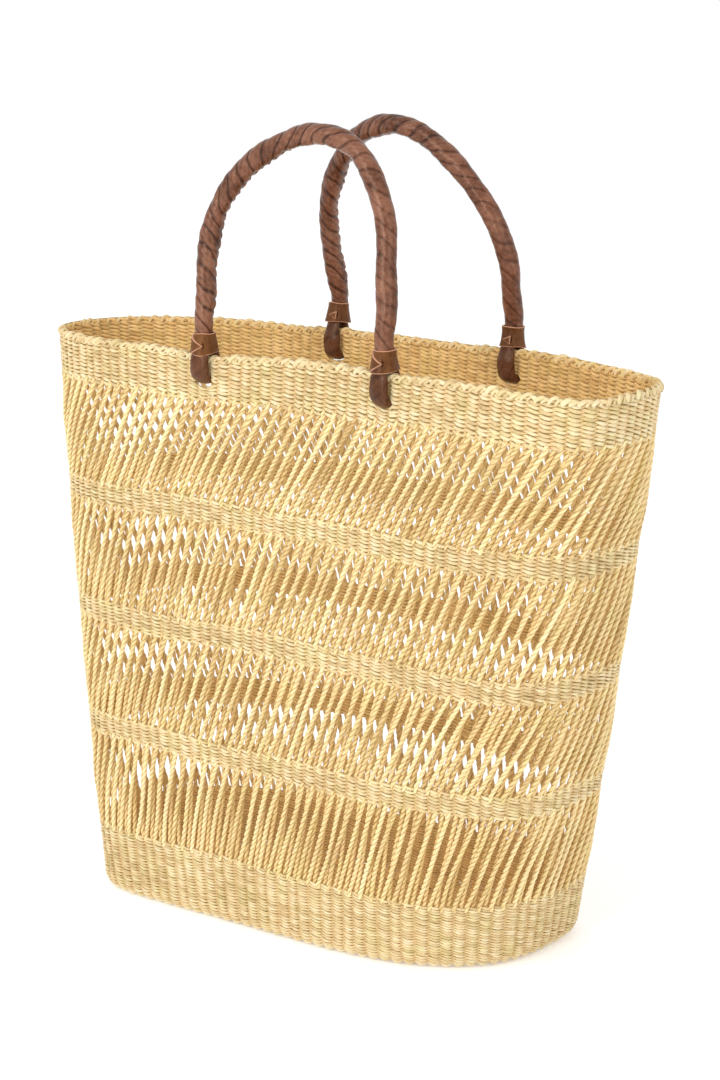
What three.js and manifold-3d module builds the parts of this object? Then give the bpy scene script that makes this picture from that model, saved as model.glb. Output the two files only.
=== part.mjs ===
// Woven market basket with two leather-wrapped bail handles. Millimetres, +Z up.
// The origin is the middle of the flat underside; +X runs along the basket and -Y faces its front wall.
import * as THREE from "three";
import { ParametricGeometry } from "three/addons/geometries/ParametricGeometry.js";
import { mergeVertices } from "three/addons/utils/BufferGeometryUtils.js";
import Module from "manifold-3d";

const wasm = await Module();
wasm.setup();

// ---- Driving dimensions ----

const RIM_HEIGHT = 350;
const FOOT_BAND = 43.5; // height of the closed weave above the floor
const WOVEN_BAND = 14.5; // height of each narrow closed band
const RIM_BAND = 30; // height of the closed weave under the rim, border included
const BORDER = 4; // height of the folded border along the rim
const NARROW_BANDS = ["lower", "middle", "upper"];
const GAP = 0.3; // clearance between pieces that touch

// The outline is a superellipse bent along a middle line. Both its middle line and its half width
// vary along the basket: their numbers multiply 1, t, t^2 and t^3, where t runs from -1 at the left
// end to 1 at the right end.
const SQUARENESS = 3; // exponent of the superellipse
const HALF_LENGTH = { foot: 138, rim: 207.5, bow: 1 };
const RIM_SHIFT = 16; // how far the mouth stands to the right of the base
const MIDDLE_LINE = { foot: [0, 24.5, 0, 17.5], rim: [3.5, 6.5, -20.5, -5.5] };
const HALF_WIDTH = { foot: [60, 3.5, 5.5, 0], rim: [58.5, -9, 11, 10.5] };
const WIDTH_BOW = 3.5; // swell of the half width at mid height

const WALL = 4.5; // thickness of the closed weave
const CORD = 3.5; // thickness of the open cords
const FLOOR = 4.5; // thickness of the base
const BOTTOM_RADIUS = 9; // round edge between base and wall
const BEND_STEPS = 4; // facets of that round edge
const FLOOR_PLAY = 1.1; // between the base's edge and the foot band, which slants over it
const STATIONS = 60; // facets round the wall

const HANDLE_RADIUS = 5.7;
const CORE_RADIUS = 4.1;
// Each handle: the degrees it leans in over the mouth, where its ends stand along X, and the arch
// between them as [across, up] from the middle of the line between its two hinge points.
const FRONT_HANDLE = {
  lean: 10,
  ends: [-42.7, 86.8],
  arch: [[-67, 33], [-62, 61], [-41, 87], [-1, 104], [32, 97], [56, 64], [62, 31]],
};
const BACK_HANDLE = {
  lean: 12,
  ends: [-49.1, 87.7],
  arch: [[-69, 33], [-64, 63], [-37, 98], [-3, 108], [25, 98], [58, 63], [69, 33]],
};
const STRAIGHT_END = 12; // a handle rises straight from its hinge for this far
const HANDLE_STEPS = 30;
const TUBE_SEGMENTS = 5; // facets of half a tube's outline

// The hinge and the pieces round it are placed from the rim: out of the wall's middle, and up.
const HINGE = { out: 2.3, up: 17.8 };
const COLLAR = { skin: 1.2, halfWidth: 7, squareness: 3.2 };
// The collar's faces outside the wall and inside it, where it sits higher to clear the rim.
const COLLAR_OUTSIDE = { low: -3, high: 9.8, foot: 10.1, top: 9.9 };
const COLLAR_INSIDE = { low: 5, high: 12.8, foot: -9.4, top: -6 };
const TAB_HALF = { length: 3.4, height: 4, thickness: 0.75 }; // the strap's pointed end
const TAB_SUNK = 0.9; // how far the pointed end is set into the strap

const LUG_HALF = { width: 5, thickness: 2.7 }; // section of the leather loop through the wall
const LOOP_DEPTH = 21; // from the rim down to the underside of the loop
const LOOP_SPREAD = 5.4; // from the wall's middle to each leg of the loop
// The legs of the loop as [out of the wall's middle, above the rim], from inside the collar downwards.
const OUTER_LEG = [
  [4.8, 9.3],
  [5.1, 4],
  [LOOP_SPREAD, 0],
  [LOOP_SPREAD, -4],
];
const INNER_LEG = [
  [-1.1, 9.5],
  [-2.3, 6.5],
  [-4.5, 3.4],
  [-LOOP_SPREAD, 0.5],
  [-LOOP_SPREAD, -4],
];
const LOOP_STEPS = { bend: 6, all: 22 };
const SLOT = { height: 8, middle: -18.1, play: 1.1, reach: 12 }; // the loop's slot, from the rim

// ---- Materials ----

const straw = (color) => new THREE.MeshStandardMaterial({ color, roughness: 0.75, metalness: 0 });
const leather = (color) => new THREE.MeshStandardMaterial({ color, roughness: 0.4, metalness: 0 });
const WEAVE_COLOUR = 0xe3c98f;
const CORD_COLOUR = 0xdcb878;
const FLOOR_COLOUR = 0xd6b679;
const BORDER_COLOUR = 0xe8cf98;
const HANDLE_COLOUR = 0x6b3c2e;
const COLLAR_COLOUR = 0x83492f;
const CORE_COLOUR = 0xc09a5c;

// ---- The wall's outline ----

const mix = (from, to, share) => from + (to - from) * share;

const alongBasket = (numbers, t) => numbers[0] + t * (numbers[1] + t * (numbers[2] + t * numbers[3]));

const rounded = (value) => Math.sign(value) * Math.abs(value) ** (2 / SQUARENESS);

// A point of the outer wall: turn is the angle round the outline, z the height.
function wallPoint(turn, z) {
  const share = z / RIM_HEIGHT;
  const swell = 4 * share * (1 - share);
  const t = rounded(Math.cos(turn));
  const length = mix(HALF_LENGTH.foot, HALF_LENGTH.rim, share) + HALF_LENGTH.bow * swell;
  const middle = mix(alongBasket(MIDDLE_LINE.foot, t), alongBasket(MIDDLE_LINE.rim, t), share);
  const straight = mix(alongBasket(HALF_WIDTH.foot, t), alongBasket(HALF_WIDTH.rim, t), share);
  const width = straight + WIDTH_BOW * swell;
  return new THREE.Vector2(length * t + RIM_SHIFT * share, middle + width * rounded(Math.sin(turn)));
}

// The outward direction of the wall, level, at right angles to the outline.
function wallNormal(turn, z) {
  const step = 0.02;
  const along = wallPoint(turn + step, z).sub(wallPoint(turn - step, z)).normalize();
  return new THREE.Vector2(along.y, -along.x);
}

function insetPoint(turn, z, inset) {
  return wallPoint(turn, z).addScaledVector(wallNormal(turn, z), -inset);
}

// Angles that part the outline at mid height into equal lengths.
function equalTurns(count) {
  const fine = 3600;
  const turns = [];
  const lengths = [0];
  for (let i = 1; i <= fine; i++) {
    const here = wallPoint((i / fine) * 2 * Math.PI, RIM_HEIGHT / 2);
    const before = wallPoint(((i - 1) / fine) * 2 * Math.PI, RIM_HEIGHT / 2);
    lengths.push(lengths[i - 1] + here.distanceTo(before));
  }
  for (let i = 0, k = 0; k < count; k++) {
    while (lengths[i + 1] < (lengths[fine] * k) / count) i++;
    turns.push((i / fine) * 2 * Math.PI);
  }
  return turns;
}

const TURNS = equalTurns(STATIONS);

// The angle where the front (side -1) or back (side 1) wall crosses the given x at the rim.
function turnAt(x, side) {
  const margin = 0.2;
  const halvings = 40;
  let low = margin;
  let high = Math.PI - margin;
  for (let i = 0; i < halvings; i++) {
    const middle = (low + high) / 2;
    if (wallPoint(side * middle, RIM_HEIGHT).x > x) low = middle;
    else high = middle;
  }
  return side * low;
}

// ---- Building blocks ----

// A ring that follows the wall. Its section is a list of [inset, z], up the outside first.
function wallRing(section) {
  const place = (u, v, target) => {
    const turn = TURNS[Math.round(u * STATIONS) % STATIONS];
    const [inset, z] = section[Math.round(v * section.length) % section.length];
    const point = insetPoint(turn, z, inset);
    target.set(point.x, point.y, z);
  };
  return new ParametricGeometry(place, STATIONS, section.length);
}

// A straight-sided band of the wall between two heights.
function bandRing(low, high, outer, inner) {
  return wallRing([
    [outer, low],
    [outer, high],
    [inner, high],
    [inner, low],
  ]);
}

function toSolid(geometry) {
  const bare = new THREE.BufferGeometry();
  const flat = geometry.index ? geometry.toNonIndexed() : geometry;
  bare.setAttribute("position", flat.getAttribute("position"));
  const merged = mergeVertices(bare, 1e-4);
  return new wasm.Manifold(
    new wasm.Mesh({
      numProp: 3,
      vertProperties: new Float32Array(merged.attributes.position.array),
      triVerts: new Uint32Array(merged.index.array),
    }),
  );
}

function toGeometry(solid) {
  const mesh = solid.getMesh();
  const geometry = new THREE.BufferGeometry();
  geometry.setAttribute("position", new THREE.BufferAttribute(new Float32Array(mesh.vertProperties), 3));
  geometry.setIndex(new THREE.BufferAttribute(new Uint32Array(mesh.triVerts), 1));
  geometry.computeVertexNormals();
  return geometry;
}

function ellipse(halfX, halfY) {
  return new THREE.Shape().absellipse(0, 0, halfX, halfY, 0, 2 * Math.PI);
}

function sweep(shape, curve, steps) {
  return new THREE.ExtrudeGeometry(shape, { extrudePath: curve, steps, curveSegments: TUBE_SEGMENTS });
}

const basket = new THREE.Group();

function addPiece(name, geometry, material, parent = basket) {
  const mesh = new THREE.Mesh(geometry, material);
  mesh.name = name;
  parent.add(mesh);
  return mesh;
}

// ---- Base and wall ----

function baseFloor() {
  const outline = TURNS.map((turn) => insetPoint(turn, 0, BOTTOM_RADIUS + FLOOR_PLAY));
  return new THREE.ExtrudeGeometry(new THREE.Shape(outline), { depth: FLOOR, bevelEnabled: false });
}

// The foot band turns under the basket in a quarter round and meets the base's edge.
function footBand() {
  const inner = BOTTOM_RADIUS - WALL;
  const outside = [];
  const inside = [];
  for (let i = 0; i <= BEND_STEPS; i++) {
    const angle = ((i / BEND_STEPS) * Math.PI) / 2;
    const across = Math.sin(angle);
    const up = Math.cos(angle);
    outside.push([BOTTOM_RADIUS * (1 - across), BOTTOM_RADIUS * (1 - up)]);
    inside.push([BOTTOM_RADIUS - inner * across, BOTTOM_RADIUS - inner * up]);
  }
  const top = FOOT_BAND;
  return wallRing([...outside, [0, top], [WALL, top], ...inside.reverse()]);
}

function addWall() {
  const open = (RIM_HEIGHT - RIM_BAND - FOOT_BAND - NARROW_BANDS.length * WOVEN_BAND) / 4;
  const cordInset = (WALL - CORD) / 2;
  addPiece("base_floor", baseFloor(), straw(FLOOR_COLOUR));
  addPiece("foot_band", footBand(), straw(WEAVE_COLOUR));
  let z = FOOT_BAND;
  for (const name of NARROW_BANDS) {
    const cords = bandRing(z + GAP, z + open - GAP, cordInset, WALL - cordInset);
    addPiece("openwork_below_" + name + "_band", cords, straw(CORD_COLOUR));
    z += open;
    addPiece("woven_band_" + name, bandRing(z, z + WOVEN_BAND, 0, WALL), straw(WEAVE_COLOUR));
    z += WOVEN_BAND;
  }
  const cords = bandRing(z + GAP, z + open - GAP, cordInset, WALL - cordInset);
  addPiece("openwork_below_rim", cords, straw(CORD_COLOUR));
}

// ---- Places where the handles are looped through the wall ----

// A frame on the rim: x out of the wall, y level along it, z up, leaning out as the wall does.
function rimFrame(x, side) {
  const turn = turnAt(x, side);
  const top = insetPoint(turn, RIM_HEIGHT, WALL / 2);
  const below = insetPoint(turn, RIM_HEIGHT - RIM_BAND, WALL / 2);
  const out = wallNormal(turn, RIM_HEIGHT);
  const lean = top.clone().sub(below).dot(out) / RIM_BAND;
  const up = new THREE.Vector3(out.x * lean, out.y * lean, 1).normalize();
  const along = new THREE.Vector3(-out.y, out.x, 0);
  const outward = new THREE.Vector3().crossVectors(along, up);
  const frame = new THREE.Matrix4().makeBasis(outward, along, up);
  return frame.setPosition(top.x, top.y, RIM_HEIGHT);
}

function loopCurve() {
  const bend = -(LOOP_DEPTH - LUG_HALF.thickness - LOOP_SPREAD);
  const points = OUTER_LEG.map(([x, z]) => new THREE.Vector3(x, 0, z));
  for (let i = 0; i <= LOOP_STEPS.bend; i++) {
    const angle = (i / LOOP_STEPS.bend) * Math.PI;
    const x = LOOP_SPREAD * Math.cos(angle);
    points.push(new THREE.Vector3(x, 0, bend - LOOP_SPREAD * Math.sin(angle)));
  }
  for (const [x, z] of INNER_LEG.toReversed()) points.push(new THREE.Vector3(x, 0, z));
  return new THREE.CatmullRomCurve3(points);
}

function loopGeometry() {
  return sweep(ellipse(LUG_HALF.width, LUG_HALF.thickness), loopCurve(), LOOP_STEPS.all);
}

// The slot in the rim band that a loop passes through.
function slotCutter() {
  const shape = ellipse(LUG_HALF.width + SLOT.play, SLOT.height / 2);
  const settings = { depth: 2 * SLOT.reach, bevelEnabled: false, curveSegments: 6 };
  // The slot's width lies along the wall (y), its height along z, its depth across the wall (x).
  const turned = new THREE.Matrix4().makeBasis(
    new THREE.Vector3(0, 1, 0),
    new THREE.Vector3(0, 0, 1),
    new THREE.Vector3(1, 0, 0),
  );
  const cutter = new THREE.ExtrudeGeometry(shape, settings).applyMatrix4(turned);
  return cutter.translate(-SLOT.reach, 0, SLOT.middle);
}

// A leather strap wrapped round both legs of the loop.
function collarSleeve() {
  const around = 24;
  const power = 2 / COLLAR.squareness; // a rounded rectangle's superellipse
  const section = [
    [0, 0],
    [0, 1],
    [COLLAR.skin, 1],
    [COLLAR.skin, 0],
  ];
  const place = (u, v, target) => {
    const angle = ((Math.round(u * around) % around) / around) * 2 * Math.PI;
    const [inset, height] = section[Math.round(v * section.length) % section.length];
    const across = Math.sign(Math.cos(angle)) * Math.abs(Math.cos(angle)) ** power;
    const beside = Math.sign(Math.sin(angle)) * Math.abs(Math.sin(angle)) ** power;
    const outward = (1 + across) / 2;
    const inner = mix(COLLAR_INSIDE.foot, COLLAR_INSIDE.top, height);
    const outer = mix(COLLAR_OUTSIDE.foot, COLLAR_OUTSIDE.top, height);
    const low = mix(COLLAR_INSIDE.low, COLLAR_OUTSIDE.low, outward);
    const high = mix(COLLAR_INSIDE.high, COLLAR_OUTSIDE.high, outward);
    const out = mix(inner, outer, outward) - inset * across;
    target.set(out, (COLLAR.halfWidth - inset) * beside, mix(low, high, height));
  };
  return new ParametricGeometry(place, around, section.length);
}

// The strap's pointed end, tucked through the strap; side 1 shows it outside, -1 inside.
function collarTab(side) {
  const face = side > 0 ? COLLAR_OUTSIDE : COLLAR_INSIDE;
  const tilt = Math.atan2(face.top - face.foot, face.high - face.low);
  const shape = new THREE.Shape();
  shape.moveTo(-TAB_HALF.length, -TAB_HALF.height);
  shape.lineTo(TAB_HALF.length, 0);
  shape.lineTo(-TAB_HALF.length, TAB_HALF.height);
  shape.closePath();
  const tab = new THREE.ExtrudeGeometry(shape, { depth: 2 * TAB_HALF.thickness, bevelEnabled: false });
  const turned = new THREE.Matrix4().makeBasis(
    new THREE.Vector3(0, side, 0),
    new THREE.Vector3(0, 0, 1),
    new THREE.Vector3(side, 0, 0),
  );
  tab.translate(0, 0, -TAB_SUNK).applyMatrix4(turned).rotateY(tilt);
  return tab.translate((face.foot + face.top) / 2, 0, (face.low + face.high) / 2);
}

function collarGeometry(side) {
  return toGeometry(toSolid(collarSleeve()).add(toSolid(collarTab(side))));
}

// ---- Handles ----

// The frame of a handle's arch: x from its left hinge point to its right, z up its leaning plane.
function handleFrame(left, right, lean) {
  const across = new THREE.Vector3().subVectors(right, left).normalize();
  const back = new THREE.Vector3(0, 0, 1).cross(across).normalize();
  const up = new THREE.Vector3().crossVectors(across, back);
  const frame = new THREE.Matrix4().makeBasis(across, back, up);
  frame.multiply(new THREE.Matrix4().makeRotationX(THREE.MathUtils.degToRad(-lean)));
  return frame.setPosition(new THREE.Vector3().addVectors(left, right).multiplyScalar(0.5));
}

function archCurve(arch, halfSpan) {
  const points = [
    [-halfSpan, 0],
    [-halfSpan, STRAIGHT_END],
    ...arch,
    [halfSpan, STRAIGHT_END],
    [halfSpan, 0],
  ];
  return new THREE.CatmullRomCurve3(points.map(([x, z]) => new THREE.Vector3(x, 0, z)));
}

// The leather wrap: a tube, open at its ends.
function handleCover(curve) {
  const shape = ellipse(HANDLE_RADIUS, HANDLE_RADIUS);
  shape.holes.push(ellipse(CORE_RADIUS + GAP, CORE_RADIUS + GAP));
  return sweep(shape, curve, HANDLE_STEPS);
}

// The core inside the wrap, with a round end at each hinge point.
function handleCore(curve, halfSpan) {
  let core = toSolid(sweep(ellipse(CORE_RADIUS, CORE_RADIUS), curve, HANDLE_STEPS));
  for (const x of [-halfSpan, halfSpan]) {
    const end = new THREE.SphereGeometry(CORE_RADIUS, 2 * TUBE_SEGMENTS, TUBE_SEGMENTS + 1);
    core = core.add(toSolid(end.translate(x, 0, 0)));
  }
  return toGeometry(core);
}

function addHandle(name, handle, side) {
  const frames = handle.ends.map((x) => rimFrame(x, side));
  ["left", "right"].forEach((end, i) => {
    const place = new THREE.Group();
    place.applyMatrix4(frames[i]);
    basket.add(place);
    addPiece(name + "_" + end + "_loop", loopGeometry(), leather(HANDLE_COLOUR), place);
    addPiece(name + "_" + end + "_collar", collarGeometry(-side), leather(COLLAR_COLOUR), place);
  });
  const hinges = frames.map((frame) => new THREE.Vector3(HINGE.out, 0, HINGE.up).applyMatrix4(frame));
  const arch = new THREE.Group();
  arch.applyMatrix4(handleFrame(hinges[0], hinges[1], -side * handle.lean));
  basket.add(arch);
  const halfSpan = hinges[0].distanceTo(hinges[1]) / 2;
  const curve = archCurve(handle.arch, halfSpan);
  addPiece(name + "_handle_core", handleCore(curve, halfSpan), straw(CORE_COLOUR), arch);
  addPiece(name + "_handle_wrap", handleCover(curve), leather(HANDLE_COLOUR), arch);
  return frames;
}

// ---- Rim ----

function addRim(frames) {
  const low = RIM_HEIGHT - RIM_BAND;
  const high = RIM_HEIGHT - BORDER;
  let band = toSolid(bandRing(low, high - GAP, 0, WALL));
  for (const frame of frames) {
    band = band.subtract(toSolid(slotCutter().applyMatrix4(frame)));
  }
  addPiece("rim_band", toGeometry(band), straw(WEAVE_COLOUR));
  addPiece("rim_border", bandRing(high, RIM_HEIGHT, -0.1, WALL + 0.1), straw(BORDER_COLOUR));
}

addWall();
const frontFrames = addHandle("front", FRONT_HANDLE, -1);
const backFrames = addHandle("back", BACK_HANDLE, 1);
addRim([...frontFrames, ...backFrames]);

export default basket;
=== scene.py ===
"""The looks of the woven market basket: twisted cords, twined bands and leather handles. Metres, +Z up."""

import math

import bpy
import numpy as np
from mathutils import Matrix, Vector


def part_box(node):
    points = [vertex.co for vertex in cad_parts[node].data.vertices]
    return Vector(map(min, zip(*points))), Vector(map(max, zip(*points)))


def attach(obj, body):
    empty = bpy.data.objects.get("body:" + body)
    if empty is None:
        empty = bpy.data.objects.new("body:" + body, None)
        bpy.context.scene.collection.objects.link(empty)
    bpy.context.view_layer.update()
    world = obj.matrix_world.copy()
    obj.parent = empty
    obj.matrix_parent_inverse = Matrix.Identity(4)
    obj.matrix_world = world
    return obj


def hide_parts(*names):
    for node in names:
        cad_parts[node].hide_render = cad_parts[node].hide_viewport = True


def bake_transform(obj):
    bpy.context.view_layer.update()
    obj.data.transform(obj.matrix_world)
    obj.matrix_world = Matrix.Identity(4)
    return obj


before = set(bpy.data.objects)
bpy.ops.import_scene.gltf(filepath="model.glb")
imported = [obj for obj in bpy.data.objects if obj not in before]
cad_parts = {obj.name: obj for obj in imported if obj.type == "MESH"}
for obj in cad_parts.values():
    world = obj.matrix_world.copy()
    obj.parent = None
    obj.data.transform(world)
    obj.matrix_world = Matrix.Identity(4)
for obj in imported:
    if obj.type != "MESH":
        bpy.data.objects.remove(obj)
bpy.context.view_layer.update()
MM = 0.001
UP = np.array([[0, 0, 1.0]])
RNG = np.random.default_rng(7)

# ---- Driving dimensions ----
# The outline is the CAD part's, and the heights of the bands come from its nodes.

RIM_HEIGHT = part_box("rim_border")[1].z
SQUARENESS = 3.0  # exponent of the outline, which is a superellipse
HALF_LENGTH = {"foot": 138 * MM, "rim": 207.5 * MM, "bow": 1 * MM}
RIM_SHIFT = 16 * MM  # how far the mouth stands to the right of the base
# The line along the middle of the basket and its half width, in millimetres: the numbers of cubics that
# run from the left end of the basket to its right end.
MIDDLE_LINE = {"foot": [0, 24.5, 0, 17.5], "rim": [3.5, 6.5, -20.5, -5.5]}
HALF_WIDTH = {"foot": [60, 3.5, 5.5, 0], "rim": [58.5, -9, 11, 10.5]}
WIDTH_BOW = 3.5 * MM      # swell of the half width at mid height
WALL = 4.5 * MM           # thickness of the closed weave
BOTTOM_RADIUS = 9 * MM    # round edge between base and wall

COLUMN = 7.7 * MM         # from one rib of the weave to the next
RIM_PITCH = 2.4 * MM      # from one row of the weave to the next, in the band under the rim
BAND_PITCH = 2.2 * MM
FOOT_PITCH = 1.85 * MM
BASE_PITCH = 2.1 * MM

PLY_RADIUS = 1.1 * MM     # of each of the two plies in an open cord
PLY_SPREAD = 0.30 * MM    # from the cord's middle to the middle of a ply
GROOVE_RADIUS = 0.6 * MM  # from the cord's middle to the groove between its plies
CORD_LAY = 8.2 * MM       # length of one full turn of the plies
# How far the open cords lean, as columns from the bottom of a band to its top.
LEAN = {"below_lower_band": 2.0, "below_middle_band": 2.9, "below_upper_band": 2.8, "below_rim": 4.0}

HANDLE_RADIUS = 5.7 * MM
HINGE = {"out": 2.3 * MM, "up": 17.8 * MM}  # from the middle of the rim
STRAIGHT_END = 12 * MM  # a handle rises straight from its hinge for this far
# Each handle: the wall it stands on, the degrees it leans in, where its ends stand along X, and its
# arch as [across, up] from the middle of the line between its hinge points. All in millimetres.
HANDLES = {
    "front": {
        "side": -1,
        "lean": 10,
        "ends": (-42.7, 86.8),
        "arch": [(-67, 33), (-62, 61), (-41, 87), (-1, 104), (32, 97), (56, 64), (62, 31)],
    },
    "back": {
        "side": 1,
        "lean": 12,
        "ends": (-49.1, 87.7),
        "arch": [(-69, 33), (-64, 63), (-37, 98), (-3, 108), (25, 98), (58, 63), (69, 33)],
    },
}


# ---- The wall ----

def along_basket(numbers, t):
    """A cubic in t, which runs from -1 at the left end of the basket to 1 at its right end."""
    return MM * sum(number * t**power for power, number in enumerate(numbers))


def between(pair, share):
    return pair["foot"] * (1 - share) + pair["rim"] * share


def rounded(value):
    return np.sign(value) * np.abs(value) ** (2 / SQUARENESS)


def wall_xy(turn, z, inset=0.0):
    """Points of the wall at an angle round the outline, a height, and a way in from outside."""
    share = z / RIM_HEIGHT
    swell = 4 * share * (1 - share)
    t = rounded(np.cos(turn))
    length = between(HALF_LENGTH, share) + HALF_LENGTH["bow"] * swell
    middle = between({end: along_basket(MIDDLE_LINE[end], t) for end in MIDDLE_LINE}, share)
    width = between({end: along_basket(HALF_WIDTH[end], t) for end in HALF_WIDTH}, share)
    width = width + WIDTH_BOW * swell
    x = (length - inset) * t + RIM_SHIFT * share
    y = middle + (width - inset) * rounded(np.sin(turn))
    return np.stack([x, y], -1)


def unit(vector):
    return vector / np.linalg.norm(vector, axis=-1, keepdims=True)


def across_from(first, second):
    """The level direction out of the wall, from two points that follow each other round it."""
    along = unit(second - first)
    return np.stack([along[..., 1], -along[..., 0]], -1)


def wall_out(turn, z):
    """The level direction out of the wall at an angle round the outline."""
    step = 0.01
    return across_from(wall_xy(turn - step, z), wall_xy(turn + step, z))


def lengths(line):
    """The way along a line of points, at each of them."""
    steps = np.linalg.norm(np.diff(line, axis=0), axis=1)
    return np.concatenate([[0], np.cumsum(steps)])


def outline_length(z, inset=0.0):
    return lengths(wall_xy(np.linspace(0, 2 * np.pi, 2001), z, inset))[-1]


PLACES = 2000  # equal parts of the outline
LEVELS = 36    # heights at which the outline is kept


def even_outline(z, inset=0.0):
    """Points that part the outline at height z into equal lengths, starting from the right end."""
    points = wall_xy(np.linspace(0, 2 * np.pi, 16001), z, inset)
    length = lengths(points)
    even = np.linspace(0, length[-1], PLACES + 1)
    return np.stack([np.interp(even, length, points[:, axis]) for axis in (0, 1)], -1)


EVEN_WALL = np.array([even_outline(z) for z in np.linspace(0, RIM_HEIGHT, LEVELS)])


def wall_at(place, z):
    """Points of the outer wall at a share of the way round it and a height."""
    place, z = np.broadcast_arrays(place, z)
    across = np.mod(place, 1) * PLACES
    up = np.clip(z / RIM_HEIGHT, 0, 1) * (LEVELS - 1)
    column = np.minimum(across.astype(int), PLACES - 1)
    row = np.minimum(up.astype(int), LEVELS - 2)
    beside = (across - column)[..., None]
    above = (up - row)[..., None]
    low = EVEN_WALL[row, column] * (1 - beside) + EVEN_WALL[row, column + 1] * beside
    high = EVEN_WALL[row + 1, column] * (1 - beside) + EVEN_WALL[row + 1, column + 1] * beside
    return low * (1 - above) + high * above


def out_at(place, z):
    """The level direction out of the wall at a share of the way round it."""
    step = 0.0015
    return across_from(wall_at(place - step, z), wall_at(place + step, z))


def even_columns(length):
    """An even number of columns, so that the two strands of a row meet themselves again."""
    return int(round(length / COLUMN / 2)) * 2


# ---- Where the handles go through the wall ----

class RimFrame:
    """A frame on the rim: out of the wall, level along it, and up, leaning as the wall does."""

    def __init__(self, x, side):
        turns = np.linspace(0.2, math.pi - 0.2, 2000)
        crossing = wall_xy(side * turns, RIM_HEIGHT)[:, 0]
        turn = side * np.interp(-x, -crossing, turns)
        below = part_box("rim_band")[0].z
        out = wall_out(turn, RIM_HEIGHT)
        top = wall_xy(turn, RIM_HEIGHT) - out * WALL / 2
        bottom = wall_xy(turn, below) - wall_out(turn, below) * WALL / 2
        lean = (top - bottom) @ out / (RIM_HEIGHT - below)
        self.side = side
        self.up = unit(np.array([out[0] * lean, out[1] * lean, 1.0]))
        self.along = np.array([-out[1], out[0], 0.0])
        self.out = np.cross(self.along, self.up)
        self.origin = np.array([top[0], top[1], RIM_HEIGHT])

    def place(self, out, along, up):
        """Points from distances in the frame, which may be arrays of one shape."""
        steps = np.stack(np.broadcast_arrays(out, along, up), -1)
        return self.origin + steps @ np.stack([self.out, self.along, self.up])


RIM_FRAMES = {
    (name, end): RimFrame(handle["ends"][i] * MM, handle["side"])
    for name, handle in HANDLES.items()
    for i, end in enumerate(("left", "right"))
}


def place_of(rim):
    """The share of the way round the wall where a frame stands."""
    return np.argmin(np.linalg.norm(EVEN_WALL[-1] - rim.origin[:2], axis=1)) / PLACES


# How far each collar sits above or below its usual height, in millimetres, with the rim under it.
COLLAR_RISE = {
    ("front", "left"): -2.2,
    ("front", "right"): 0.0,
    ("back", "left"): 3.2,
    ("back", "right"): 1.2,
}
LOOP_PLACES = {key: place_of(rim) for key, rim in RIM_FRAMES.items()}
LOOP_SAG = [(LOOP_PLACES[key], 0.8 - 0.8 * COLLAR_RISE[key]) for key in RIM_FRAMES]
SAG_WIDTH = 0.017   # as a share of the way round the wall
SAG_BELOW = 0.07    # as a share of the wall's height, down from the rim
STEADY_FOOT = 0.06  # the weave grows uneven up to this height, in metres


def unevenness(place, z):
    """How far hand work and the pull of the handles raise or lower the weave here."""
    slow = np.sin(2 * np.pi * (3 * place + 5 * z))
    quick = np.sin(2 * np.pi * (8 * place - 9 * z) + 1)
    near_rim = np.clip((z / RIM_HEIGHT - (1 - SAG_BELOW)) / SAG_BELOW, 0, 1)
    sag = np.zeros(np.shape(place + z))
    for where, depth in LOOP_SAG:
        beside = np.mod(place - where + 0.5, 1) - 0.5
        sag = sag + depth * np.exp(-((beside / SAG_WIDTH) ** 2)) * near_rim
    return MM * (np.clip(z / STEADY_FOOT, 0, 1) * (0.7 * slow + 0.45 * quick) - sag)


# The opening that the weave leaves for each loop, from the rim.
SLOT = {"middle": -17.7 * MM, "half_height": 2.8 * MM, "half_width": 6.4 * MM}


def part_round_loops(xy, z, low, high):
    """The rise of a row at height z where the weave parts round each leather loop, and its squeeze."""
    rise = np.zeros(len(xy))
    squeeze = np.ones(len(xy))
    middle = RIM_HEIGHT + SLOT["middle"]
    room = (high - middle) if z > middle else (middle - low)
    for place in RIM_FRAMES.values():
        offset = xy - place.origin[:2]
        beside = np.abs(offset @ place.along[:2]) / SLOT["half_width"]
        near = (np.abs(offset @ place.out[:2]) < 20 * MM) & (beside < 1)
        opening = np.where(near, SLOT["half_height"] * np.sqrt(np.clip(1 - beside**2, 0, 1)), 0)
        kept = (room - opening) / room
        side = 1 if z > middle else -1
        rise += np.where(near, side * opening + (z - middle) * (kept - 1), 0)
        squeeze *= kept
    return rise, squeeze


# ---- Meshes from grids of points ----

def grid_faces(rows, columns, close_rows):
    """Quads over a grid of points whose columns close on themselves, as indices."""
    i = np.arange(rows if close_rows else rows - 1)
    j = np.arange(columns)
    i, j = np.meshgrid(i, j, indexing="ij")
    here, there = i * columns, ((i + 1) % rows) * columns
    beside = (j + 1) % columns
    return np.stack([here + j, there + j, there + beside, here + beside], -1).reshape(-1, 4)


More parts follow.
